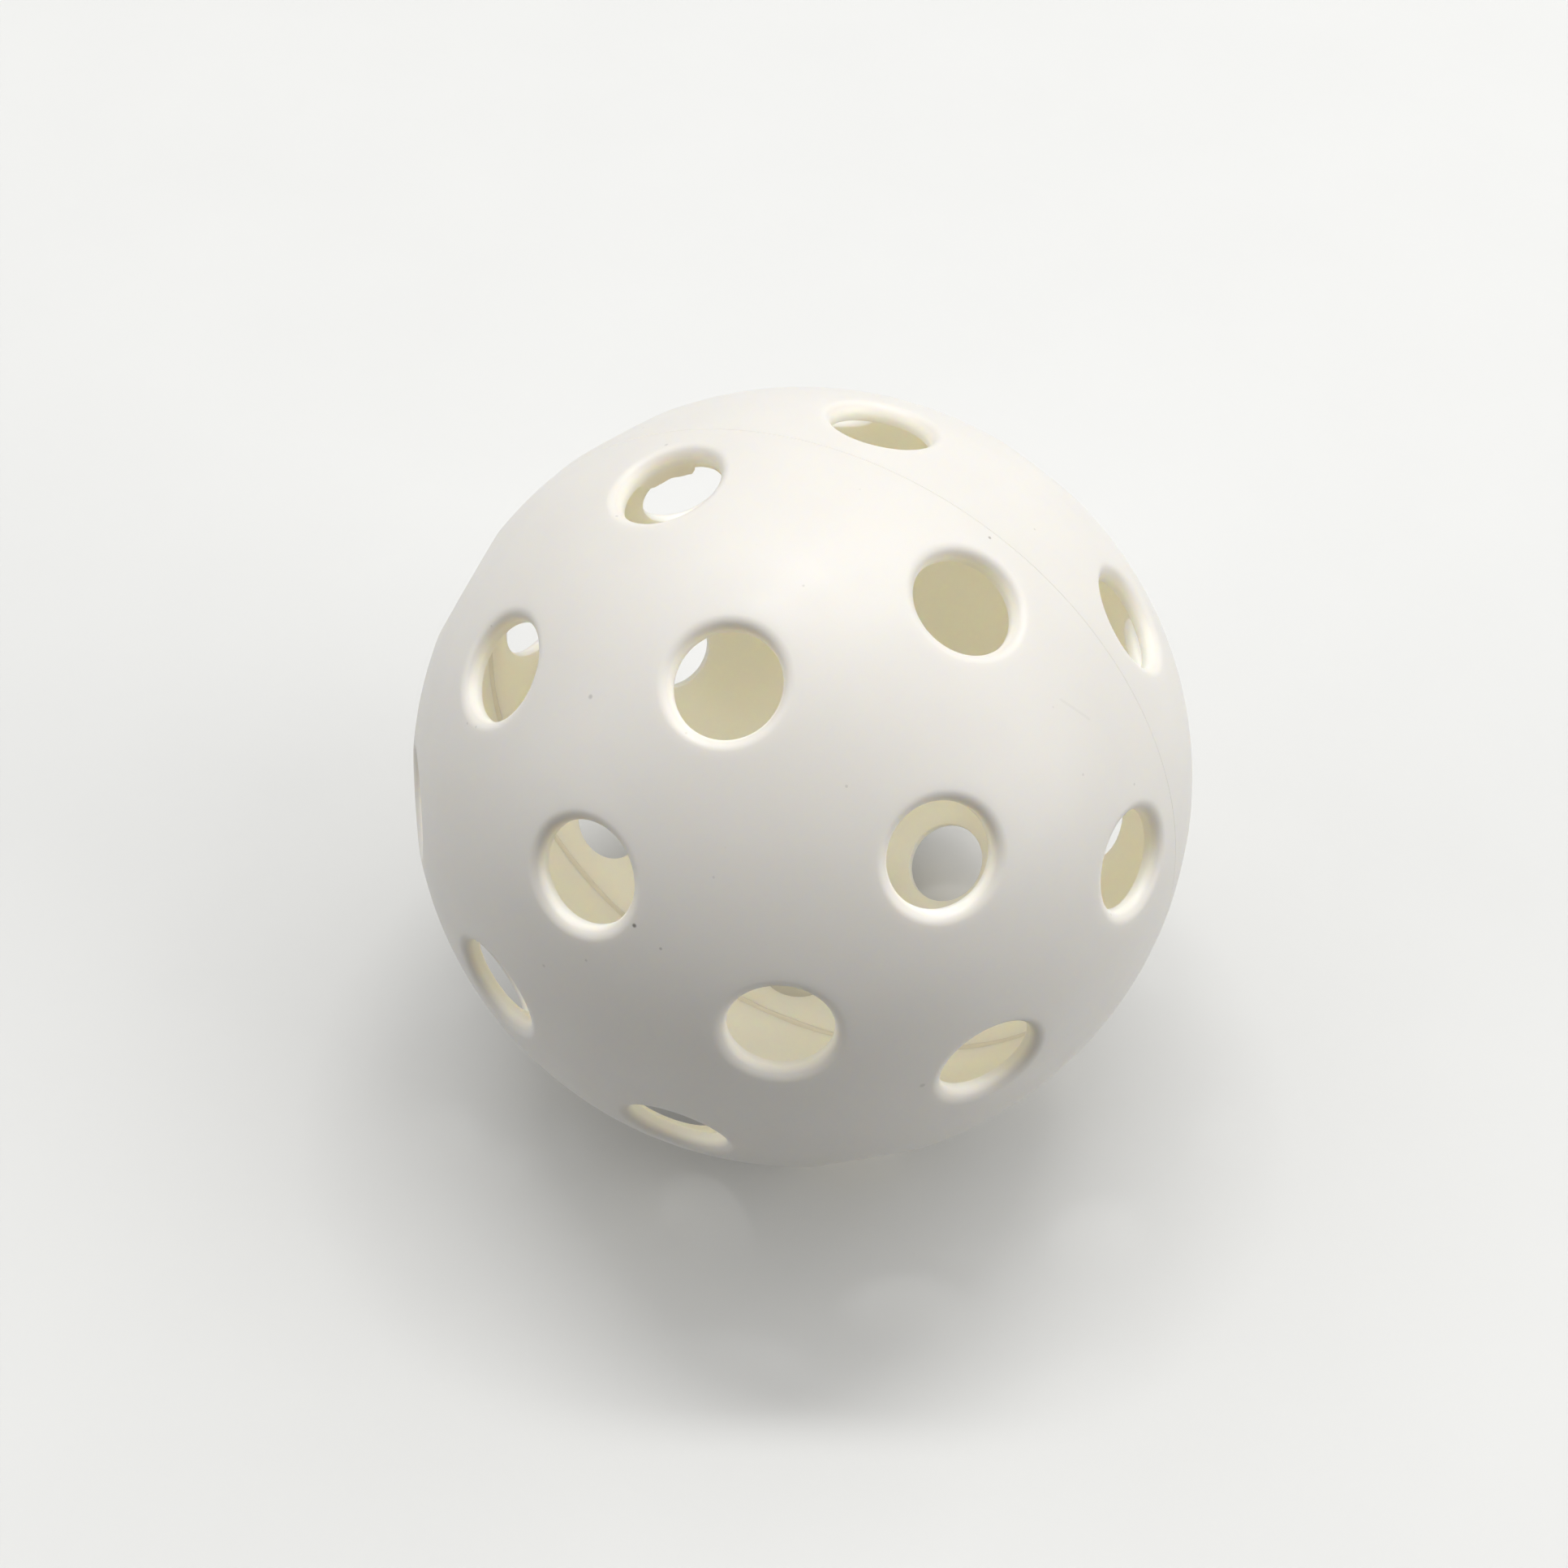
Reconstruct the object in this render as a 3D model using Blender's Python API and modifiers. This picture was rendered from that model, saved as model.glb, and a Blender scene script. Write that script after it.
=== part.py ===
"""Pickleball: a hollow ball of white plastic with round holes.

Two equal half shells come out of one mould with their holes in them. One is turned over, and the two
are welded at the equator, which leaves a low bead of plastic on the inside of the seam. The ball lies
as it comes to rest on a table, on the rim of one of its holes. The origin is the ball's centre, +Z is up.
"""

import math

import bpy
from mathutils import Matrix, Quaternion, Vector

# Ball and wall, in metres
BALL_DIAMETER = 0.074
WALL = 0.0017

# Every hole is a short bore with a rounded outer rim, in metres
HOLE_DIAMETER = 0.0089
RIM_RADIUS = 0.0010

# Rings of holes on each half: degrees from the half's pole to the hole's axis, and holes in the ring
CROWN_RING_DEG = 23.1
CROWN_RING_HOLES = 4
MIDDLE_RING_DEG = 51.6
MIDDLE_RING_HOLES = 8
SEAM_RING_DEG = 77.9
SEAM_RING_HOLES = 8

# The rear half is welded on with this turn about the axis that both halves share, in degrees
REAR_TURN_DEG = 24.2

# Weld bead on the inner wall, in metres; the clearance is to the faceted wall that carries it
BEAD_WIDTH = 0.0012
BEAD_HEIGHT = 0.0004
BEAD_CLEARANCE = 0.00015

# The ball lies on this hole of the rear half's seam ring, turned about the vertical, in degrees
REST_HOLE = 3
REST_TURN_DEG = -4.4

# The rounded rim runs out on the ball's face at this angle, and the cutters reach this far past the wall
RIM_RUN_OUT_DEG = 20.0
CUTTER_OVERRUN = 0.002

# Facets: round the ball, from pole to seam, round a hole, along a rim's rounding and across the bead
BALL_SEGMENTS = 44
QUARTER_STEPS = 11
HOLE_SEGMENTS = 18
RIM_STEPS = 3
BEAD_STEPS = 6
SHARP_EDGE_DEG = 40.0

OUTER_RADIUS = BALL_DIAMETER / 2
INNER_RADIUS = OUTER_RADIUS - WALL
HOLE_RADIUS = HOLE_DIAMETER / 2

# White moulded polyethylene, as linear colour; the welded seam is a little creamier
SHELL_COLOUR = (0.80, 0.79, 0.76, 1.0)
BEAD_COLOUR = (0.74, 0.70, 0.58, 1.0)
SHELL_ROUGHNESS = 0.45
BEAD_ROUGHNESS = 0.55


def clear_scene():
    for obj in list(bpy.data.objects):
        bpy.data.objects.remove(obj, do_unlink=True)


def new_collection(name, parent):
    collection = bpy.data.collections.new(name)
    parent.children.link(collection)
    return collection


def plastic(name, colour, roughness):
    material = bpy.data.materials.new(name)
    material.use_nodes = True
    shader = material.node_tree.nodes["Principled BSDF"]
    shader.inputs["Base Color"].default_value = colour
    shader.inputs["Roughness"].default_value = roughness
    shader.inputs["Metallic"].default_value = 0.0
    material.diffuse_color = colour
    return material


def arc(centre, radius, start, end, steps):
    """Points on an arc in the XZ half plane, from angle start to angle end, both included."""
    angles = [start + (end - start) * i / steps for i in range(steps + 1)]
    return [(centre[0] + radius * math.cos(a), centre[1] + radius * math.sin(a)) for a in angles]


def profile_mesh(name, points, closed=False):
    """A line through (radius, height) points, drawn in the XZ plane."""
    count = len(points)
    edges = [(i, i + 1) for i in range(count - 1)]
    if closed:
        edges.append((count - 1, 0))
    mesh = bpy.data.meshes.new(name)
    mesh.from_pydata([(radius, 0.0, height) for radius, height in points], edges, [])
    return mesh


def turned(name, mesh, segments, collection, parent):
    """An object that turns a profile once round its own Z axis."""
    obj = bpy.data.objects.new(name, mesh)
    collection.objects.link(obj)
    obj.parent = parent
    screw = obj.modifiers.new("turn", "SCREW")
    screw.axis = "Z"
    screw.angle = 2 * math.pi
    screw.steps = segments
    screw.render_steps = segments
    screw.use_merge_vertices = True
    screw.merge_threshold = 0.00001
    screw.use_smooth_shade = True
    return obj


def half_shell_profile():
    """From the pole down the outer face to the seam, across the flat seam and back up the inner face."""
    quarter = math.pi / 2
    outer = arc((0.0, 0.0), OUTER_RADIUS, quarter, 0.0, QUARTER_STEPS)
    inner = arc((0.0, 0.0), INNER_RADIUS, 0.0, quarter, QUARTER_STEPS)
    return profile_mesh("half_shell_profile", outer + inner)


def hole_profile():
    """A bore with a rounded mouth: the rounding touches the bore and comes up to the ball's face."""
    rim_centre_radius = HOLE_RADIUS + RIM_RADIUS
    rim_centre_height = math.sqrt((OUTER_RADIUS - RIM_RADIUS) ** 2 - rim_centre_radius**2)
    face_angle = math.atan2(rim_centre_height, rim_centre_radius)
    run_out = face_angle + math.radians(RIM_RUN_OUT_DEG)
    rim = arc((rim_centre_radius, rim_centre_height), RIM_RADIUS, run_out, math.pi, RIM_STEPS)
    mouth = (
        rim[0][0] + CUTTER_OVERRUN * math.sin(run_out),
        rim[0][1] - CUTTER_OVERRUN * math.cos(run_out),
    )
    top = OUTER_RADIUS + CUTTER_OVERRUN
    bottom = math.sqrt(INNER_RADIUS**2 - HOLE_RADIUS**2) - CUTTER_OVERRUN
    axis_top = [(0.0, top), (mouth[0], top), mouth]
    axis_bottom = [(HOLE_RADIUS, bottom), (0.0, bottom)]
    return profile_mesh("hole_profile", axis_top + rim + axis_bottom)


def bead_profile():
    """A low half oval on the inside of the seam, flat towards the wall."""
    seat = INNER_RADIUS * math.cos(math.pi / BALL_SEGMENTS) - BEAD_CLEARANCE
    half_width = BEAD_WIDTH / 2
    oval = []
    for i in range(BEAD_STEPS + 1):
        angle = math.pi * i / BEAD_STEPS - math.pi / 2
        oval.append((seat - BEAD_HEIGHT * math.cos(angle), half_width * math.sin(angle)))
    return profile_mesh("bead_profile", oval[-1:] + oval[:-1], closed=True)


def ring_directions(angle_deg, holes, first_deg):
    """Polar angle and longitude of each hole of a ring, in radians."""
    pitch = 360.0 / holes
    return [(math.radians(angle_deg), math.radians(first_deg + pitch * i)) for i in range(holes)]


def hole_directions():
    """All the holes of one half. The middle ring is staggered by half a pitch."""
    crown = ring_directions(CROWN_RING_DEG, CROWN_RING_HOLES, 0.0)
    middle = ring_directions(MIDDLE_RING_DEG, MIDDLE_RING_HOLES, 180.0 / MIDDLE_RING_HOLES)
    seam = ring_directions(SEAM_RING_DEG, SEAM_RING_HOLES, 0.0)
    return crown + middle + seam


def aimed(polar, longitude):
    """A rotation that lays Z along a hole's axis, with a flat of the faceted bore facing the pole."""
    half_facet = Matrix.Rotation(math.pi / HOLE_SEGMENTS, 4, "Z")
    return Matrix.Rotation(longitude, 4, "Z") @ Matrix.Rotation(polar, 4, "Y") @ half_facet


def hole_cutters(name, collection, parent):
    """One turned cutter for each hole of a half, all with the same profile."""
    group = new_collection(name, collection)
    profile = hole_profile()
    for number, (polar, longitude) in enumerate(hole_directions(), start=1):
        cutter = turned(f"{name}_{number:02d}", profile, HOLE_SEGMENTS, group, parent)
        cutter.matrix_basis = aimed(polar, longitude)
        cutter.hide_render = True
        cutter.display_type = "WIRE"
    return group


def bake(obj, material):
    """Replaces an object's profile and modifiers with the solid that they make, shaded smooth."""
    bpy.context.view_layer.update()
    graph = bpy.context.evaluated_depsgraph_get()
    mesh = bpy.data.meshes.new_from_object(obj.evaluated_get(graph))
    mesh.name = obj.name
    obj.modifiers.clear()
    obj.data = mesh
    mesh.shade_smooth()
    mesh.set_sharp_from_angle(angle=math.radians(SHARP_EDGE_DEG))
    mesh.materials.clear()
    mesh.materials.append(material)


def half_shell(name, collection, cutters, parent, material):
    """A turned hemisphere of even wall, drilled by its own group of cutters."""
    shell = turned(name, half_shell_profile(), BALL_SEGMENTS, collection, parent)
    holes = shell.modifiers.new("holes", "BOOLEAN")
    holes.operation = "DIFFERENCE"
    holes.solver = "EXACT"
    holes.operand_type = "COLLECTION"
    holes.collection = hole_cutters(f"{name}_holes", cutters, parent)
    bake(shell, material)
    return shell


def weld_bead(name, collection, parent, material):
    bead = turned(name, bead_profile(), BALL_SEGMENTS, collection, parent)
    bake(bead, material)
    return bead


def axis_empty(name, collection, parent, rotation):
    empty = bpy.data.objects.new(name, None)
    empty.empty_display_type = "ARROWS"
    empty.empty_display_size = OUTER_RADIUS
    empty.rotation_mode = "QUATERNION"
    empty.rotation_quaternion = rotation
    empty.parent = parent
    collection.objects.link(empty)
    return empty


def rear_rotation():
    """Turns a half over, then about the shared axis by the turn that the weld fixed."""
    return Quaternion((0, 0, 1), math.radians(REAR_TURN_DEG)) @ Quaternion((1, 0, 0), math.pi)


def rest_rotation():
    """Brings the hole that the ball lies on straight down, then turns the ball about the vertical."""
    seam_ring = ring_directions(SEAM_RING_DEG, SEAM_RING_HOLES, 0.0)
    hole = Vector((0, 0, 1))
    hole.rotate(aimed(*seam_ring[REST_HOLE % SEAM_RING_HOLES]).to_quaternion())
    hole.rotate(rear_rotation())
    level = hole.rotation_difference(Vector((0, 0, -1)))
    return Quaternion((0, 0, 1), math.radians(REST_TURN_DEG)) @ level


def main():
    clear_scene()
    scene = bpy.context.scene.collection
    ball = new_collection("pickleball", scene)
    cutters = new_collection("cutters", scene)

    axis = axis_empty("ball_axis", ball, None, rest_rotation())
    rear_axis = axis_empty("rear_half_axis", ball, axis, rear_rotation())

    front_plastic = plastic("front_shell_polyethylene", SHELL_COLOUR, SHELL_ROUGHNESS)
    rear_plastic = plastic("rear_shell_polyethylene", SHELL_COLOUR, SHELL_ROUGHNESS)
    weld_plastic = plastic("weld_polyethylene", BEAD_COLOUR, BEAD_ROUGHNESS)

    half_shell("front_half_shell", ball, cutters, axis, front_plastic)
    half_shell("rear_half_shell", ball, cutters, rear_axis, rear_plastic)
    weld_bead("inner_weld_bead", ball, axis, weld_plastic)


if __name__ == "__main__":
    main()
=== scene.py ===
# %% [markdown]
# # A pickleball, finished for a close look
# The ball is two equal plastic half shells, welded at the equator, with round holes all over. The packed
# model has its true sizes in flat facets. This lesson keeps those sizes and gives the same three pieces
# the smooth skin, soft rims, seam and plastic of the real ball.

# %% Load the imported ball
import math

import bmesh
import bpy
import numpy as np
from mathutils import Matrix, Quaternion, Vector
from mathutils.geometry import delaunay_2d_cdt


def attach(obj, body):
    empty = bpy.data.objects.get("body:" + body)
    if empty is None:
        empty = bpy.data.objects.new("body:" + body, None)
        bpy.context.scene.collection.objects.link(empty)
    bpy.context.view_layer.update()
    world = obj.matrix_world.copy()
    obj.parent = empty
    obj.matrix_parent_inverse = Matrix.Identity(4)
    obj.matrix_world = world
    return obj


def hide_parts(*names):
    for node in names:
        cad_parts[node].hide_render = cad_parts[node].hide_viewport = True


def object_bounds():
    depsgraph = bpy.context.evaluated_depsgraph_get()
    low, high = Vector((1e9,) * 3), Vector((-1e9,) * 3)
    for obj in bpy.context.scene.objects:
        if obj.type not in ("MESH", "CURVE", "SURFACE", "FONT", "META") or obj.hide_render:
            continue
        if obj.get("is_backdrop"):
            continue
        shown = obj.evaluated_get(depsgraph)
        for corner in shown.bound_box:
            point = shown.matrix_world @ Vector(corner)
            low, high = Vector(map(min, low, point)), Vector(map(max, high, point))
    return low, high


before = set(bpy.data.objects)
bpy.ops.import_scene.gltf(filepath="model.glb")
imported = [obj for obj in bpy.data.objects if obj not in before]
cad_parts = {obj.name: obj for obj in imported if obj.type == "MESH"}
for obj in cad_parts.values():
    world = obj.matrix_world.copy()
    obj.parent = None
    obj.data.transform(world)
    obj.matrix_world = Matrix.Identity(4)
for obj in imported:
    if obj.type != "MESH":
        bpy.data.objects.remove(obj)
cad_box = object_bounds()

print("pieces in the packed ball:", ", ".join(sorted(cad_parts)))

# %% [markdown]
# ## The ball's sizes
# The frame could give the radius, but not the rim rounding or the ring angles, so the driving sizes are
# written here once more, in metres and degrees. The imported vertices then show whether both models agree.

# %% Ball, wall, holes and rings
MM = 0.001
BALL_RADIUS = 0.037
WALL = 0.0017
INNER_RADIUS = BALL_RADIUS - WALL
HOLE_RADIUS = 0.00445
RIM_RADIUS = 0.0010

# Degrees from the half's pole to the hole's axis, holes in the ring, and the first hole's longitude
HOLE_RINGS = {"crown": (23.1, 4, 0.0), "middle": (51.6, 8, 22.5), "seam": (77.9, 8, 0.0)}
REAR_TURN_DEG = 24.2
REST_HOLE = 3
REST_TURN_DEG = -4.4

packed = np.array([v.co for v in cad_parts["front_half_shell"].data.vertices])
packed_radius = np.linalg.norm(packed, axis=1).max()
print(f"packed ball radius {packed_radius / MM:.2f} mm, here {BALL_RADIUS / MM:.2f} mm")

# %% [markdown]
# ## Where the holes are
# Each half has three rings of holes about its pole. A hole is a small frame of its own: Z along the
# hole's axis, X towards the seam. The rear half is the front half turned over and twisted, because two
# mouldings from one tool were welded at a chance angle. The ball lies on the rim of one hole of the rear
# half.

# %% Hole frames and the two halves' places
def hole_frames(rings):
    """A rotation matrix for each hole of a half, from the pole to the seam."""
    matrices = []
    for polar, count, first in rings.values():
        for index in range(count):
            round_pole = Matrix.Rotation(math.radians(first + 360.0 * index / count), 3, "Z")
            matrices.append(round_pole @ Matrix.Rotation(math.radians(polar), 3, "Y"))
    return [np.array(matrix) for matrix in matrices]


def resting(rear_turn):
    """The ball's turn that brings the hole it lies on straight down."""
    hole = Vector(hole_frames({"seam": HOLE_RINGS["seam"]})[REST_HOLE][:, 2])
    hole.rotate(rear_turn)
    level = hole.rotation_difference(Vector((0, 0, -1)))
    return Quaternion((0, 0, 1), math.radians(REST_TURN_DEG)) @ level


rear_turn = Quaternion((0, 0, 1), math.radians(REAR_TURN_DEG)) @ Quaternion((1, 0, 0), math.pi)
front_place = resting(rear_turn)
rear_place = front_place @ rear_turn
HOLES = hole_frames(HOLE_RINGS)
front_pole = front_place @ Vector((0, 0, 1))
print(f"{len(HOLES)} holes in each half, front pole towards", [round(x, 3) for x in front_pole])

# %% [markdown]
# ## The shape of one hole
# A moulded hole has a rounded outer rim that the paddle can't catch, a short straight bore and a small
# radius at the inner edge. A Boolean and a Bevel would make it too, but they leave long slivers that
# shade badly on a sphere. Here the section of one hole is drawn as arcs, and turned about the hole's axis
# into rings of points, so that every rim is exactly round. The first rings lie on the ball's face and
# blend into its skin.

# %% Section of a hole
EDGE_RADIUS = 0.00015

# Steps along the roundings of the rim and of the inner edge
FILLET_STEPS = 8
EDGE_STEPS = 5

# How far outside the rim the first two rings lie on the ball's face
COLLAR_WIDTHS = (0.0013, 0.0006)


def arc(centre, radius, start, end, steps):
    angles = np.linspace(start, end, steps + 1)
    return [(centre[0] + radius * math.cos(a), centre[1] + radius * math.sin(a)) for a in angles]


def hole_section():
    """(distance from the hole's axis, height along it), from the ball's face down to the inner wall."""
    rim_out = HOLE_RADIUS + RIM_RADIUS
    rim = (rim_out, math.sqrt((BALL_RADIUS - RIM_RADIUS) ** 2 - rim_out**2))
    edge_out = HOLE_RADIUS + EDGE_RADIUS
    edge = (edge_out, math.sqrt((INNER_RADIUS + EDGE_RADIUS) ** 2 - edge_out**2))
    face = math.atan2(rim[0], rim[1])
    on_face = [face + width / BALL_RADIUS for width in COLLAR_WIDTHS]
    collar = [(BALL_RADIUS * math.sin(a), BALL_RADIUS * math.cos(a)) for a in on_face]
    fillet = arc(rim, RIM_RADIUS, math.pi / 2 - face, math.pi, FILLET_STEPS)
    inner_edge = arc(edge, EDGE_RADIUS, math.pi, math.pi + math.atan2(edge[1], edge[0]), EDGE_STEPS)
    inside = math.atan2(edge[0], edge[1]) + COLLAR_WIDTHS[-1] / INNER_RADIUS
    inner_collar = [(INNER_RADIUS * math.sin(inside), INNER_RADIUS * math.cos(inside))]
    return collar + fillet, inner_edge, inner_collar


OUTER_SECTION, EDGE_SECTION, INNER_SECTION = hole_section()
rim_edge = OUTER_SECTION[len(COLLAR_WIDTHS)][0]
print(f"a rim meets the ball's face {rim_edge / MM:.2f} mm from the hole's axis")

# %% [markdown]
# ## The film of flash in one hole
# One hole shows a ragged lip inside its bore: plastic that crept between the mould's pin and its core and
# stayed as a thin film. It could be a piece of its own, but it grew out of the wall, so the inner edge of
# that hole is drawn out along the bore instead. It starts in a step on one side and tapers off on the
# other.

# %% Height of the film round the bore
FLASH_HOLE = 15
FLASH_HEIGHT = 0.00106
FLASH_FROM_DEG = 0.0
FLASH_STEP_DEG = 8.0
FLASH_TO_DEG = 72.0
FLASH_TAPER_DEG = 15.0
FLASH_EDGE_POINTS = 3

# What is ragged has a few waves: their share of the height, their count in a full turn and their phase
FLASH_WAVES = ((0.05, 7, 0.0), (0.04, 17, 1.0))


def ragged(turn, waves):
    return 1.0 + sum(share * np.sin(count * turn + phase) for share, count, phase in waves)


def flash_height(turn):
    """How far the film stands out at each turn about the hole's axis, in metres."""
    degrees = np.degrees(turn) % 360.0
    step = np.clip((degrees - FLASH_FROM_DEG) / FLASH_STEP_DEG, 0.0, 1.0)
    taper = np.clip((FLASH_TO_DEG - degrees) / FLASH_TAPER_DEG, 0.0, 1.0)
    return FLASH_HEIGHT * step * taper * ragged(turn, FLASH_WAVES)


print(f"film over {FLASH_TO_DEG - FLASH_FROM_DEG:.0f} degrees of hole {FLASH_HOLE}")

# %% [markdown]
# ## Rings of points
# A Screw modifier would turn a section too. Here each point of the section becomes a ring of its own,
# because the first and last rings are also the borders that the skins are joined to, and because the film
# makes some rings of one hole uneven.

# %% Rings of points for one hole
HOLE_SEGMENTS = 72


def full_turn(count):
    """Evenly spaced angles once round, in radians."""
    return np.linspace(0.0, 2 * math.pi, count, endpoint=False)


def circle(count, distance, height):
    """Points round the Z axis. Distance and height are one number, or one for each point."""
    turn = full_turn(count)
    heights = np.broadcast_to(height, turn.shape)
    return np.stack([distance * np.cos(turn), distance * np.sin(turn), heights], axis=1)


def hole_rings(hole, has_flash):
    """The rings of one hole, from the ball's face down to the inner wall."""
    film = flash_height(full_turn(HOLE_SEGMENTS)) if has_flash else 0.0
    section = list(OUTER_SECTION)
    for index, (distance, height) in enumerate(EDGE_SECTION):
        section.append((distance, height - film * (index < FLASH_EDGE_POINTS)))
    section += INNER_SECTION
    return [circle(HOLE_SEGMENTS, *point) @ hole.T for point in section]


print(f"{len(hole_rings(HOLES[0], False))} rings of {HOLE_SEGMENTS} points for each hole")

# %% [markdown]
# ## The skin between the holes
# What is left of the sphere between the rims needs even triangles, or the soft light shows their pattern.
# A UV sphere crowds its poles, and a Boolean keeps that grid. Points on a golden-angle spiral are evenly
# spread, and a Delaunay triangulation joins them to the rims' own points. It works on a flat picture of
# the half ball: the stereographic one, which keeps circles round and triangles as well shaped as they are
# on the ball.

# %% Evenly spread points
SKIN_SPACING = 0.0013
GOLDEN_ANGLE = math.pi * (3 - math.sqrt(5))


def spiral(radius):
    """Evenly spread directions over a whole sphere, about SKIN_SPACING apart on it."""
    area_of_a_point = math.sqrt(3) / 2 * SKIN_SPACING**2
    count = int(4 * math.pi * radius**2 / area_of_a_point)
    step = np.arange(count) + 0.5
    height = 1 - 2 * step / count
    around = np.sqrt(1 - height**2)
    turn = step * GOLDEN_ANGLE
    return np.stack([around * np.cos(turn), around * np.sin(turn), height], axis=1)


print(f"{len(spiral(BALL_RADIUS))} points on the whole ball's face, about {SKIN_SPACING / MM:.1f} mm apart")

# %% Skin of a half ball
# Spread points stay clear of the borders by this share of their spacing
CLEAR_OF_LOOPS = 0.75

# Points of the flat picture that are closer than this are one point
SAME_POINT = 1e-9


def skin(radius, loops, seam):
    """Triangles over a half ball, between the loops of its holes and the loop at its seam."""
    clear = CLEAR_OF_LOOPS * SKIN_SPACING / radius
    spread = spiral(radius)
    spread = spread[spread[:, 2] > seam[0, 2] / radius + clear]
    for hole, loop in zip(HOLES, loops):
        taken = math.acos(loop[0] @ hole[:, 2] / radius) + clear
        spread = spread[spread @ hole[:, 2] < math.cos(taken)]
    borders = [*loops, seam]
    points = np.concatenate([*borders, spread * radius])
    owner = [np.full(len(border), number) for number, border in enumerate(borders)]
    owner = np.concatenate([*owner, np.full(len(spread), -1)])
    edges = []
    start = 0
    for border in borders:
        count = len(border)
        edges += [(start + i, start + (i + 1) % count) for i in range(count)]
        start += count
    flat = points[:, :2] / (radius + points[:, 2:])
    made = delaunay_2d_cdt([Vector(p) for p in flat], edges, [], 0, SAME_POINT)
    source = [origin[0] for origin in made[3]]
    triangles = np.array([[source[i] for i in face] for face in made[2]])
    owners = owner[triangles]
    in_a_hole = (owners[:, 0] == owners[:, 1]) & (owners[:, 1] == owners[:, 2])
    in_a_hole &= (owners[:, 0] >= 0) & (owners[:, 0] < len(loops))
    return points, triangles[~in_a_hole].tolist()


print(f"a skin has {len(HOLES) + 1} borders: its holes and the seam")

# %% [markdown]
# ## From sheets to one body
# Rings and skins are loose sheets so far. Merging by distance would join them too, but its limit has to
# suit the closest points of the whole mesh. Borders that meet were made from the same numbers, so points
# that fall on one place of a very fine grid are the same point. A body is sound when no edge is left open.

# %% Join sheets into a body
SHARP_EDGE_DEG = 20.0

# Points that fall on the same place of a grid this fine are one point
JOIN_GRID = 1e-7


def strip(rings):
    """Rings of points as one sheet of quads."""
    count = len(rings[0])
    faces = []
    for level in range(len(rings) - 1):
        low = level * count
        for i in range(count):
            after = (i + 1) % count
            faces.append((low + i, low + after, low + count + after, low + count + i))
    return np.concatenate(rings), faces


def closed_mesh(name, sheets):
    """Joins sheets along the points that they share, and turns all faces outwards."""
    points = np.concatenate([sheet[0] for sheet in sheets])
    starts = np.cumsum([0] + [len(sheet[0]) for sheet in sheets])
    grid = np.round(points / JOIN_GRID)
    _, first, merged = np.unique(grid, axis=0, return_index=True, return_inverse=True)
    merged = merged.reshape(-1)
    faces = []
    for start, (_, sheet) in zip(starts, sheets):
        faces += [[merged[start + i] for i in face] for face in sheet]
    mesh = bpy.data.meshes.new(name)
    mesh.from_pydata(points[first].tolist(), [], faces)
    shaped = bmesh.new()
    shaped.from_mesh(mesh)
    bmesh.ops.recalc_face_normals(shaped, faces=shaped.faces)
    open_edges = sum(not edge.is_manifold for edge in shaped.edges)
    volume = shaped.calc_volume() / MM**3
    shaped.to_mesh(mesh)
    shaped.free()
    print(f"{name}: {len(mesh.polygons)} faces, {volume:.0f} mm3, {open_edges} open edges")
    return mesh


def add_piece(name, mesh, place):
    """An object whose points are in the ball's own frame, with its origin at the ball's centre."""
    mesh.transform(place.to_matrix().to_4x4())
    mesh.shade_smooth()
    mesh.set_sharp_from_angle(angle=math.radians(SHARP_EDGE_DEG))
    piece = bpy.data.objects.new(name, mesh)
    bpy.context.scene.collection.objects.link(piece)
    return piece


print(f"sheets are joined on a grid of {JOIN_GRID / MM:.4f} mm")

# %% [markdown]
# ## One half shell
# The skin outside, the skin inside, the rings of every hole and the flat seam face make one closed body.
# The two moulded edges are slightly eased at the seam, so the halves meet in a hairline that catches a
# shadow. That line could be painted, but a real step in the mesh holds up from every side.

# %% Build both half shells
SEAM_SEGMENTS = 240
SEAM_EASE_HEIGHT = 0.00004
SEAM_EASE_DEPTH = 0.00005


def half_shell(name, place, flash_hole=None):
    holes = [hole_rings(hole, number == flash_hole) for number, hole in enumerate(HOLES, start=1)]
    eased = math.sqrt(BALL_RADIUS**2 - SEAM_EASE_HEIGHT**2)
    seam = [
        circle(SEAM_SEGMENTS, eased, SEAM_EASE_HEIGHT),
        circle(SEAM_SEGMENTS, BALL_RADIUS - SEAM_EASE_DEPTH, 0.0),
        circle(SEAM_SEGMENTS, INNER_RADIUS, 0.0),
    ]
    sheets = [strip(rings) for rings in holes] + [strip(seam)]
    sheets.append(skin(BALL_RADIUS, [rings[0] for rings in holes], seam[0]))
    sheets.append(skin(INNER_RADIUS, [rings[-1] for rings in holes], seam[-1]))
    return add_piece(name, closed_mesh(name, sheets), place)


front_half = half_shell("front_half_skin", front_place, FLASH_HOLE)
rear_half = half_shell("rear_half_skin", rear_place)

# %% [markdown]
# ## The weld bead
# Welding presses molten plastic out of the seam. Outside it was trimmed away, inside it stays as a low
# ring that can be seen through the lower holes. A torus would be too even and too sharp. The melt has
# wetted the wall, so the section is a low swell that runs out on both sides, and its width and height
# wander a little, as they do where the two halves didn't melt alike. Its foot is sunk into the wall.

# %% Build the bead
BEAD_WIDTH = 0.0010
BEAD_HEIGHT = 0.00018
BEAD_FOOT = 0.00004
BEAD_STEPS = 16
BEAD_WAVES = ((0.10, 5, 0.4), (0.08, 13, 0.0), (0.05, 31, 2.0))


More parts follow.
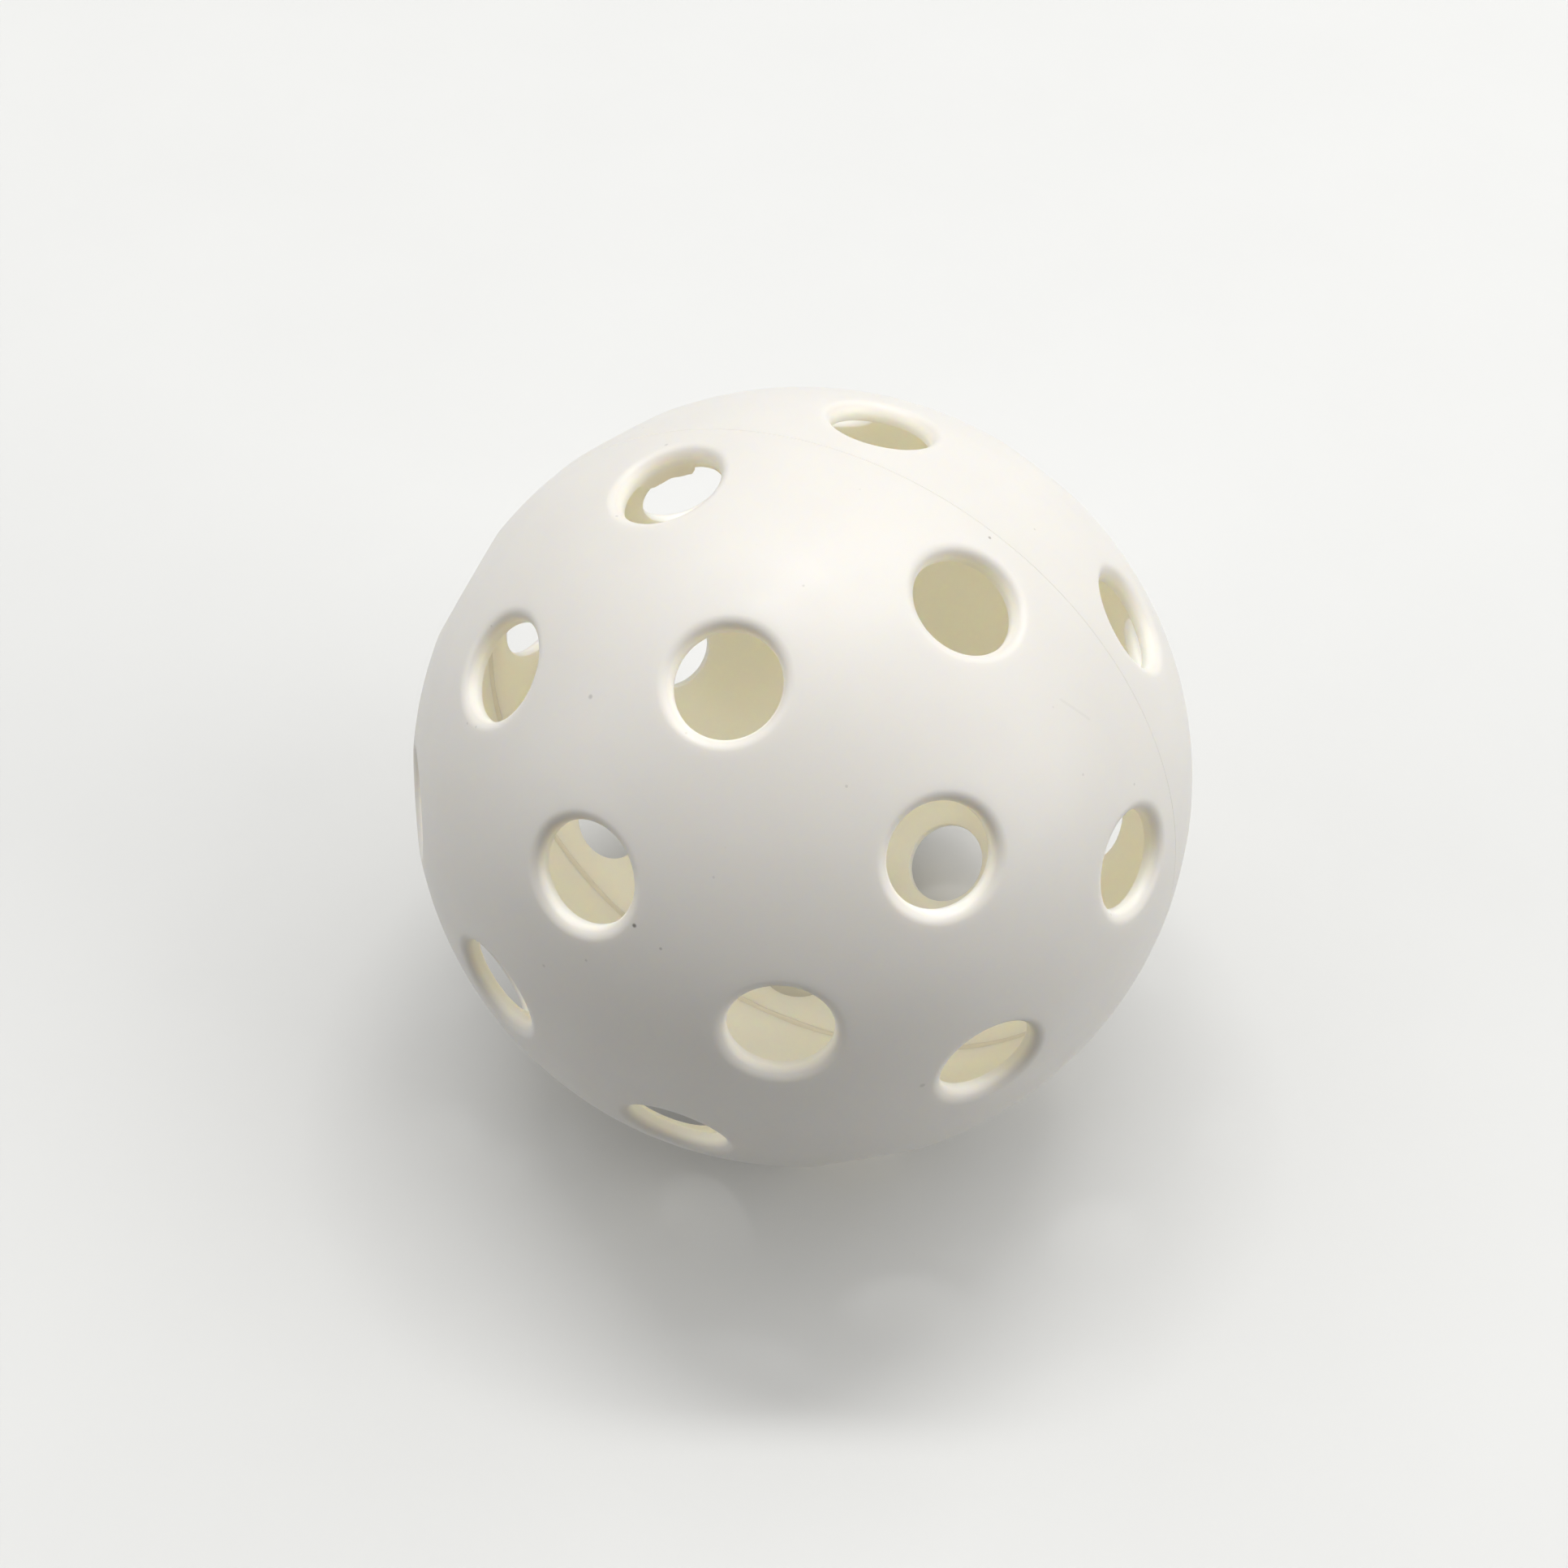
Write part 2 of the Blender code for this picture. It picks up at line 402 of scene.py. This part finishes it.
def bead_mesh(name):
    swell = ragged(full_turn(SEAM_SEGMENTS), BEAD_WAVES)
    rings = []
    for share in np.linspace(-1.0, 1.0, BEAD_STEPS + 1):
        rise = (BEAD_FOOT + BEAD_HEIGHT * swell) * (1 + math.cos(math.pi * share)) / 2
        distance = INNER_RADIUS + BEAD_FOOT - rise
        rings.append(circle(SEAM_SEGMENTS, distance, BEAD_WIDTH / 2 * swell * share))
    return closed_mesh(name, [strip(rings + rings[:1])])


weld_bead = add_piece("weld_bead_ring", bead_mesh("weld_bead_ring"), front_place)

# %% [markdown]
# ## Camera
# The photographer looked down on the ball from close by. Distance, height and roll follow from where the
# holes lie in the picture, and a small shift sets the ball a little off the middle. The same numbers tell
# which point of the ball lies under a pixel, which places the few marks that the real ball has.

# %% Place the camera
IMAGE_SIDE = 1932
BALL_CENTRE_PX = (988.5, 957.2)
FOCAL_PX = 2300.0
CAMERA_DISTANCE = 0.1809
CAMERA_ELEVATION_DEG = 53.73
CAMERA_ROLL_DEG = 1.08
CLIP_START = 0.01

tilt = Matrix.Rotation(math.radians(90 - CAMERA_ELEVATION_DEG), 4, "X")
camera_turn = tilt @ Matrix.Rotation(math.radians(CAMERA_ROLL_DEG), 4, "Z")
camera = bpy.data.objects.new("camera", bpy.data.cameras.new("camera"))
camera.matrix_world = camera_turn @ Matrix.Translation((0, 0, CAMERA_DISTANCE))
camera.data.lens = camera.data.sensor_width * FOCAL_PX / IMAGE_SIDE
camera.data.shift_x = (IMAGE_SIDE / 2 - BALL_CENTRE_PX[0]) / IMAGE_SIDE
camera.data.shift_y = (BALL_CENTRE_PX[1] - IMAGE_SIDE / 2) / IMAGE_SIDE
camera.data.clip_start = CLIP_START
bpy.context.scene.collection.objects.link(camera)
bpy.context.scene.camera = camera


def on_ball(pixel):
    """The point of the ball's face under a pixel of the picture."""
    x = (pixel[0] - BALL_CENTRE_PX[0]) / FOCAL_PX
    y = (BALL_CENTRE_PX[1] - pixel[1]) / FOCAL_PX
    ray = (camera_turn.to_3x3() @ Vector((x, y, -1))).normalized()
    eye = camera_turn.to_3x3() @ Vector((0, 0, CAMERA_DISTANCE))
    along = -eye.dot(ray)
    depth = along - math.sqrt(along**2 - eye.length_squared + BALL_RADIUS**2)
    return eye + ray * depth


print(f"lens {camera.data.lens:.1f} mm, shift {camera.data.shift_x:.4f} {camera.data.shift_y:.4f}")

# %% [markdown]
# ## Colours and nodes
# Colours are written as sRGB hex values, as a paint chart gives them, and turned to the linear values
# that the shader works in. One small function adds a node, sets its options and fills its inputs: with a
# plain value, with a socket, or with another node, whose first working output is then linked.

# %% Colour and node helpers
def linear(hex_colour):
    """A colour such as #F0EDE6 as linear red, green, blue and alpha."""
    parts = [int(hex_colour[i : i + 2], 16) / 255 for i in (1, 3, 5)]
    return [p / 12.92 if p <= 0.04045 else ((p + 0.055) / 1.055) ** 2.4 for p in parts] + [1.0]


def put(tree, kind, inputs, **options):
    """Adds a node with its options, and sets or links its inputs."""
    made = tree.nodes.new(kind)
    for name, value in options.items():
        setattr(made, name, value)
    for key, value in inputs.items():
        if isinstance(value, bpy.types.Node):
            value = next(socket for socket in value.outputs if socket.enabled)
        if isinstance(value, bpy.types.NodeSocket):
            tree.links.new(value, made.inputs[key])
        else:
            made.inputs[key].default_value = value
    return made


def empty_material(name):
    material = bpy.data.materials.new(name)
    material.use_nodes = True
    material.node_tree.nodes.clear()
    return material


print("a paper white as linear:", [round(x, 3) for x in linear("#F0EDE6")])

# %% [markdown]
# ## Specks and a scratch
# Grit that was caught in the plastic shows as dark specks, a few of them large enough to see, and one
# faint scratch runs across the face. An image would hold them all, but it would need an unwrapped ball. A
# speck is simply all that lies near one point of the face, so the shader measures distances.

# %% Specks
# Each speck: its pixel in the picture, its width in millimetres and how dark it is
SPECKS = {
    "above_top_hole": ((1219.5, 662.5), 0.26, 0.50),
    "left_of_middle": ((727.5, 858.5), 0.36, 0.32),
    "beside_left_rim": ((781.5, 1140.5), 0.33, 0.80),
    "under_left_rim": ((814.0, 1169.0), 0.24, 0.38),
    "over_flash_hole": ((821.0, 548.0), 0.32, 0.25),
    "low_left": ((670.0, 1190.0), 0.28, 0.20),
    "between_low_holes": ((1136.5, 1337.5), 0.45, 0.22),
}
MARK_SOFTNESS = 0.4


def darkness_near(tree, distance, width_mm, darkness):
    """Dark within half a width of something, soft at the edge. The distance is a node's, in metres."""
    half = width_mm * MM / 2
    limits = {"From Min": half * (1 + MARK_SOFTNESS), "From Max": half * (1 - MARK_SOFTNESS)}
    return put(tree, "ShaderNodeMapRange", {"Value": distance, **limits, "To Max": darkness})


def speck_marks(tree, place):
    marks = []
    for pixel, width_mm, darkness in SPECKS.values():
        distance = put(tree, "ShaderNodeVectorMath", {0: place, 1: on_ball(pixel)}, operation="DISTANCE")
        marks.append(darkness_near(tree, distance, width_mm, darkness))
    return marks


print("specks on the face:", ", ".join(SPECKS))

# %% Scratch
SCRATCH_FROM_PX = (1307.0, 862.0)
SCRATCH_TO_PX = (1342.0, 886.0)
SCRATCH_WIDTH_MM = 0.24
SCRATCH_DARK = 0.06


def scratch_mark(tree, place):
    """Dark near the straight line between the scratch's ends."""
    start = on_ball(SCRATCH_FROM_PX)
    line = on_ball(SCRATCH_TO_PX) - start
    offset = put(tree, "ShaderNodeVectorMath", {0: place, 1: start}, operation="SUBTRACT")
    along = put(tree, "ShaderNodeVectorMath", {0: offset, 1: line}, operation="DOT_PRODUCT")
    share = put(tree, "ShaderNodeMapRange", {"Value": along, "From Max": line.length_squared})
    nearest = put(tree, "ShaderNodeVectorMath", {0: line, "Scale": share}, operation="SCALE")
    distance = put(tree, "ShaderNodeVectorMath", {0: offset, 1: nearest}, operation="DISTANCE")
    return darkness_near(tree, distance, SCRATCH_WIDTH_MM, SCRATCH_DARK)


scratch_mm = (on_ball(SCRATCH_TO_PX) - on_ball(SCRATCH_FROM_PX)).length / MM
print(f"scratch {scratch_mm:.1f} mm long")

# %% [markdown]
# ## Fine grit
# Finer grit is spread through the whole wall, also where the picture doesn't reach. Specks could be set
# one by one, but a cell pattern gives one grain to each small cube of plastic, and a grain shows where
# the face happens to cut through it.

# %% Grit
GRIT_SPACING_MM = 4.0
GRIT_WIDTH_MM = 0.24
GRIT_DARK = 0.25


def grit_mark(tree, place):
    cells = put(tree, "ShaderNodeTexVoronoi", {"Vector": place, "Scale": 1 / (GRIT_SPACING_MM * MM)})
    distance = put(tree, "ShaderNodeMath", {0: cells, 1: GRIT_SPACING_MM * MM}, operation="MULTIPLY")
    return darkness_near(tree, distance, GRIT_WIDTH_MM, GRIT_DARK)


def face_marks(tree, place):
    """The darkest mark at each point of the plastic, from 0 to 1."""
    darkest = grit_mark(tree, place)
    for mark in [scratch_mark(tree, place), *speck_marks(tree, place)]:
        darkest = put(tree, "ShaderNodeMath", {0: darkest, 1: mark}, operation="MAXIMUM")
    return darkest


print(f"one grain of {GRIT_WIDTH_MM} mm to each {GRIT_SPACING_MM} mm of plastic")

# %% [markdown]
# ## Moulded polyethylene: colour
# The ball is white polyethylene, moulded in a blasted tool. The face has aged to a greyish white with faint
# clouds. The cream in the bores and the hollow is painted warm light: the tint that light takes through the
# wall and round the hollow is painted into the colour. Three materials on three sets of faces would meet in
# a hard line, so one material asks how deep below the ball's face a point lies.

# %% Colour through the wall
OUTER_WHITE = "#E0DDD7"
CLOUD_SHADE = "#D9D6D0"
# The bore and hollow creams are painted warm light, the tint of light scattered through the wall and round
# the hollow
BORE_PAINTED_WARM_LIGHT = "#FAF7F0"
HOLLOW_PAINTED_WARM_LIGHT = "#FFFCF1"
GRIT_BROWN = "#5A544C"
CLOUD_MM = 14.0
CLOUD_DETAIL = 3.0

# Depths below the face, in millimetres: the bore's cream from and to, and the hollow's
BORE_DEPTH_MM = (0.35, 1.0)
HOLLOW_DEPTH_MM = (WALL / MM - 0.25, WALL / MM)


def wall_depth(tree, place, limits_mm):
    """A share that grows from 0 to 1 between two depths below the ball's face."""
    radius = put(tree, "ShaderNodeVectorMath", {0: place}, operation="LENGTH")
    start, end = (BALL_RADIUS - depth * MM for depth in limits_mm)
    return put(tree, "ShaderNodeMapRange", {"Value": radius, "From Min": start, "From Max": end})


def shell_colour(tree, place):
    pattern = {"Vector": place, "Scale": 1 / (CLOUD_MM * MM), "Detail": CLOUD_DETAIL}
    layers = [
        (put(tree, "ShaderNodeTexNoise", pattern), CLOUD_SHADE),
        (face_marks(tree, place), GRIT_BROWN),
        # These two layers paint warm light into the bores and the hollow
        (wall_depth(tree, place, BORE_DEPTH_MM), BORE_PAINTED_WARM_LIGHT),
        (wall_depth(tree, place, HOLLOW_DEPTH_MM), HOLLOW_PAINTED_WARM_LIGHT),
    ]
    colour = linear(OUTER_WHITE)
    for share, layer in layers:
        inputs = {"Factor": share, "A": colour, "B": linear(layer)}
        colour = put(tree, "ShaderNodeMix", inputs, data_type="RGBA")
    return colour


print("shell colours:", OUTER_WHITE, CLOUD_SHADE, BORE_PAINTED_WARM_LIGHT, HOLLOW_PAINTED_WARM_LIGHT)

# %% [markdown]
# ## Moulded polyethylene: scattered light
# Light goes a millimetre or two into this plastic and comes out warmer, so the rims glow at their edges and
# the hollow looks cream. A plain diffuse white would look like plaster. Blender follows scattered light
# inside one object only. The two halves are two objects, so a long scatter would draw a dark band along
# the seam, and the scatter shrinks there.

# %% Scatter through the wall
OUTER_SCATTER_MM = 0.9
INNER_SCATTER_MM = 2.0
SEAM_SOFT_MM = 3.0
SEAM_SCATTER = 0.08

# How far red, green and blue go, against the lengths above
SCATTER_WARMTH = (1.0, 0.84, 0.52)


def shell_scatter(tree, place):
    lengths = {"To Min": OUTER_SCATTER_MM * MM, "To Max": INNER_SCATTER_MM * MM}
    length = put(tree, "ShaderNodeMapRange", {"Value": wall_depth(tree, place, BORE_DEPTH_MM), **lengths})
    height = put(tree, "ShaderNodeVectorMath", {0: place, 1: front_pole}, operation="DOT_PRODUCT")
    from_seam = put(tree, "ShaderNodeMath", {0: height}, operation="ABSOLUTE")
    limits = {"From Max": SEAM_SOFT_MM * MM, "To Min": SEAM_SCATTER}
    at_seam = put(tree, "ShaderNodeMapRange", {"Value": from_seam, **limits})
    return put(tree, "ShaderNodeMath", {0: length, 1: at_seam}, operation="MULTIPLY")


print(f"light runs {OUTER_SCATTER_MM} mm at the face and {INNER_SCATTER_MM} mm in the hollow")

# %% [markdown]
# ## Moulded polyethylene: satin face
# A blasted tool leaves a satin face: a broad, dim sheen and no mirror, a little duller where the tool was
# worn. A fine grain breaks the sheen up. It could be real geometry, but a bump is enough for what is
# finer than a hair.

# %% The shell's plastic
POLYETHYLENE_IOR = 1.51
SATIN_MM = 5.0
SATIN_ROUGHNESS = (0.40, 0.50)

# A blasted grain is about 0.05 mm wide; it is drawn coarser, so that a render of the whole ball shows it
GRAIN_MM = 0.40
GRAIN_DEPTH_MM = 0.004
GRAIN_DETAIL = 2.0

# Nearly all of a noise pattern's values lie between these
NOISE_LIMITS = {"From Min": 0.3, "From Max": 0.7}


def shell_plastic(name):
    material = empty_material(name)
    tree = material.node_tree
    place = put(tree, "ShaderNodeTexCoord", {}).outputs["Object"]
    pattern = {"Vector": place, "Detail": GRAIN_DETAIL}
    satin = put(tree, "ShaderNodeTexNoise", {**pattern, "Scale": 1 / (SATIN_MM * MM)})
    limits = {**NOISE_LIMITS, "To Min": SATIN_ROUGHNESS[0], "To Max": SATIN_ROUGHNESS[1]}
    roughness = put(tree, "ShaderNodeMapRange", {"Value": satin, **limits})
    grain = put(tree, "ShaderNodeTexNoise", {**pattern, "Scale": 1 / (GRAIN_MM * MM)})
    inputs = {
        "Base Color": shell_colour(tree, place),
        "Roughness": roughness,
        "IOR": POLYETHYLENE_IOR,
        "Subsurface Weight": 1.0,
        "Subsurface Radius": SCATTER_WARMTH,
        "Subsurface Scale": shell_scatter(tree, place),
        "Normal": put(tree, "ShaderNodeBump", {"Height": grain, "Distance": GRAIN_DEPTH_MM * MM}),
    }
    shader = put(tree, "ShaderNodeBsdfPrincipled", inputs)
    put(tree, "ShaderNodeOutputMaterial", {"Surface": shader})
    return material


shell_material = shell_plastic("polyethylene_moulded_satin")
for piece in (front_half, rear_half):
    piece.data.materials.append(shell_material)
print(f"{shell_material.name}: {len(shell_material.node_tree.nodes)} nodes")

# %% [markdown]
# ## Melted polyethylene
# The bead is the same plastic, melted once and frozen in the open. That leaves it smoother and shinier
# than the blasted face, with small flow marks. Its colour is darker than the wall, partly the melt's own
# tone and partly painted shade for the shadow line along the low ridge. It could share the shell's
# material, but it is too thin for scattered light, so it has a plain one of its own.

# %% The weld's plastic
# Both weld tones are darker than the wall: partly the melt's tone, partly painted shade along the bead
WELD_CREAM_WITH_PAINTED_SHADE = "#EBE8E1"
WELD_FLOW_TONE_WITH_PAINTED_SHADE = "#E5E1D8"
FLOW_MARK_MM = 1.2
FLOW_DEPTH_MM = 0.01
WELD_ROUGHNESS = (0.30, 0.42)


def weld_plastic(name):
    material = empty_material(name)
    tree = material.node_tree
    place = put(tree, "ShaderNodeTexCoord", {}).outputs["Object"]
    pattern = {"Vector": place, "Scale": 1 / (FLOW_MARK_MM * MM), "Detail": GRAIN_DETAIL}
    marks = put(tree, "ShaderNodeTexNoise", pattern)
    tones = {"Factor": marks, "A": linear(WELD_CREAM_WITH_PAINTED_SHADE), "B": linear(WELD_FLOW_TONE_WITH_PAINTED_SHADE)}
    limits = {**NOISE_LIMITS, "To Min": WELD_ROUGHNESS[0], "To Max": WELD_ROUGHNESS[1]}
    inputs = {
        "Base Color": put(tree, "ShaderNodeMix", tones, data_type="RGBA"),
        "Roughness": put(tree, "ShaderNodeMapRange", {"Value": marks, **limits}),
        "IOR": POLYETHYLENE_IOR,
        "Normal": put(tree, "ShaderNodeBump", {"Height": marks, "Distance": FLOW_DEPTH_MM * MM}),
    }
    shader = put(tree, "ShaderNodeBsdfPrincipled", inputs)
    put(tree, "ShaderNodeOutputMaterial", {"Surface": shader})
    return material


weld_bead.data.materials.append(weld_plastic("polyethylene_melted_weld"))
print(f"{weld_bead.data.materials[0].name}: flow marks of {FLOW_MARK_MM} mm")

# %% [markdown]
# ## What the pieces stand for
# Each skin stands for one imported node, which is hidden, and rides on the ball's only body.

# %% Tie the pieces to the imported ball
STANDS_FOR = {
    "front_half_shell": (front_half, "front_shell"),
    "rear_half_shell": (rear_half, "rear_shell"),
    "inner_weld_bead": (weld_bead, "weld"),
}
for node, (piece, slot) in STANDS_FOR.items():
    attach(piece, "root")
    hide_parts(node)
    print(f"{piece.name} stands for {node}")

# %% [markdown]
# ## Table
# The ball lies on a plain, pale, round table of matte laminate, with a faint mottle. A white one would
# throw more light up under the ball than the picture shows. So the Light Path node tells two kinds of
# rays apart: those that end in the eye, also by way of a sheen or through something clear, see the pale
# tone, and light on its way to the ball meets a darker one. The ball's shadow falls on it as on any
# surface.

# %% Table
TABLE_RADIUS = 0.45
TABLE_SEGMENTS = 128
TABLE_BOUNCE = "#A8A8A6"
TABLE_AS_SEEN = "#D8D8D6"
TABLE_SHADE = "#D5D5D3"
TABLE_ROUGHNESS = 0.7
MOTTLE_MM = 25.0


def seen_by_eye(tree):
    """1 for rays that end in the eye, straight, in a sheen or through something clear, and 0 for others."""
    path = put(tree, "ShaderNodeLightPath", {}).outputs
    clear = {0: path["Is Glossy Ray"], 1: path["Is Transmission Ray"]}
    by_way = put(tree, "ShaderNodeMath", clear, operation="MAXIMUM")
    return put(tree, "ShaderNodeMath", {0: path["Is Camera Ray"], 1: by_way}, operation="MAXIMUM")


def table_laminate(name):
    material = empty_material(name)
    tree = material.node_tree
    place = put(tree, "ShaderNodeTexCoord", {}).outputs["Object"]
    pattern = {"Vector": place, "Scale": 1 / (MOTTLE_MM * MM), "Detail": CLOUD_DETAIL}
    mottle = put(tree, "ShaderNodeTexNoise", pattern)
    tones = {"Factor": mottle, "A": linear(TABLE_AS_SEEN), "B": linear(TABLE_SHADE)}
    tone = put(tree, "ShaderNodeMix", tones, data_type="RGBA")
    sides = {"Factor": seen_by_eye(tree), "A": linear(TABLE_BOUNCE), "B": tone}
    colour = put(tree, "ShaderNodeMix", sides, data_type="RGBA")
    shader = put(tree, "ShaderNodeBsdfPrincipled", {"Base Color": colour, "Roughness": TABLE_ROUGHNESS})
    put(tree, "ShaderNodeOutputMaterial", {"Surface": shader})
    return material


table_top = cad_box[0][2]
table_edge = circle(TABLE_SEGMENTS, TABLE_RADIUS, table_top)
table_mesh = bpy.data.meshes.new("table")
table_mesh.from_pydata(table_edge.tolist(), [], [range(TABLE_SEGMENTS)])
table_mesh.materials.append(table_laminate("laminate_matte_table"))
table = bpy.data.objects.new("table", table_mesh)
bpy.context.scene.collection.objects.link(table)
table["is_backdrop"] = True
print(f"table top at {table_top / MM:.2f} mm")

# %% [markdown]
# ## Light
# A long strip light hangs above and a little behind the ball. It is narrow from back to front, so the
# shadow ends in a clear edge towards the viewer and is soft on both sides. A roof light and side lights
# stand for the pale room around it. They could be one bright world, but lamps can be set one by one until
# the ball's own shading agrees with the picture. Their level leaves the top of the ball just short of
# white.

# %% Lamps
LAMP_DISTANCE = 1.5

# Each lamp: its sides in metres, its power in watts, its elevation and its azimuth in degrees
LAMPS = {
    "strip_light": ((1.0, 0.12), 10.1, 72.2, 180.0),
    "roof": ((1.5, 1.5), 4.2, 90.0, 0.0),
    "right_side": ((1.0, 1.0), 7.6, 40.0, 80.0),
    "left_side": ((1.0, 1.0), 4.1, 40.0, -80.0),
    "back_right_side": ((1.0, 1.0), 6.8, 50.0, 135.0),
    "back_left_side": ((1.0, 1.0), 4.8, 50.0, -135.0),
    "low_right_side": ((1.0, 0.6), 5.0, 15.0, 75.0),
    "low_left_side": ((1.0, 0.6), 3.0, 15.0, -75.0),
}


def area_lamp(name, size, power, elevation_deg, azimuth_deg):
    """A rectangular lamp that faces the ball. Azimuth 0 is on the viewer's side, 90 on the right."""
    lamp = bpy.data.lights.new(name, "AREA")
    lamp.shape = "RECTANGLE"
    lamp.size, lamp.size_y = size
    lamp.energy = power
    elevation = math.radians(elevation_deg)
    azimuth = math.radians(azimuth_deg)
    level = math.cos(elevation)
    towards = Vector((level * math.sin(azimuth), -level * math.cos(azimuth), math.sin(elevation)))
    holder = bpy.data.objects.new(name, lamp)
    holder.location = towards * LAMP_DISTANCE
    holder.rotation_euler = towards.to_track_quat("Z", "Y").to_euler()
    holder.visible_camera = False
    bpy.context.scene.collection.objects.link(holder)


for name, settings in LAMPS.items():
    area_lamp(name, *settings)
print("lamps:", ", ".join(LAMPS))

# %% [markdown]
# ## Room
# The room itself gives no light: it is only the pale tone that the eye meets, straight or in a sheen.
# Inside the ball, light is passed from wall to wall many times before it comes out of a hole. Blender
# stops after a few such turns by default, and the hollow would look dark, so it gets more of them.

# %% Room and light turns
ROOM_TONE = "#F0F0EE"
HOLLOW_TURNS = 20
OTHER_TURNS = 4

world = bpy.data.worlds.new("pale_room")
world.use_nodes = True
room_tree = world.node_tree
room_tree.nodes.clear()
room_inputs = {"Color": linear(ROOM_TONE), "Strength": seen_by_eye(room_tree)}
room = put(room_tree, "ShaderNodeBackground", room_inputs)
put(room_tree, "ShaderNodeOutputWorld", {"Surface": room})

scene = bpy.context.scene
scene.world = world
scene.cycles.diffuse_bounces = HOLLOW_TURNS
scene.cycles.max_bounces = HOLLOW_TURNS + OTHER_TURNS
scene.view_settings.view_transform = "Standard"
print("light turns:", scene.cycles.diffuse_bounces)

# %% Print both boxes and finish
visual_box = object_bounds()
boxes = {"cad": [list(corner) for corner in cad_box], "visual": [list(corner) for corner in visual_box]}
for name, (low, high) in boxes.items():
    print(f"{name} box:", " x ".join(f"{(b - a) / MM:.2f}" for a, b in zip(low, high)), "mm")
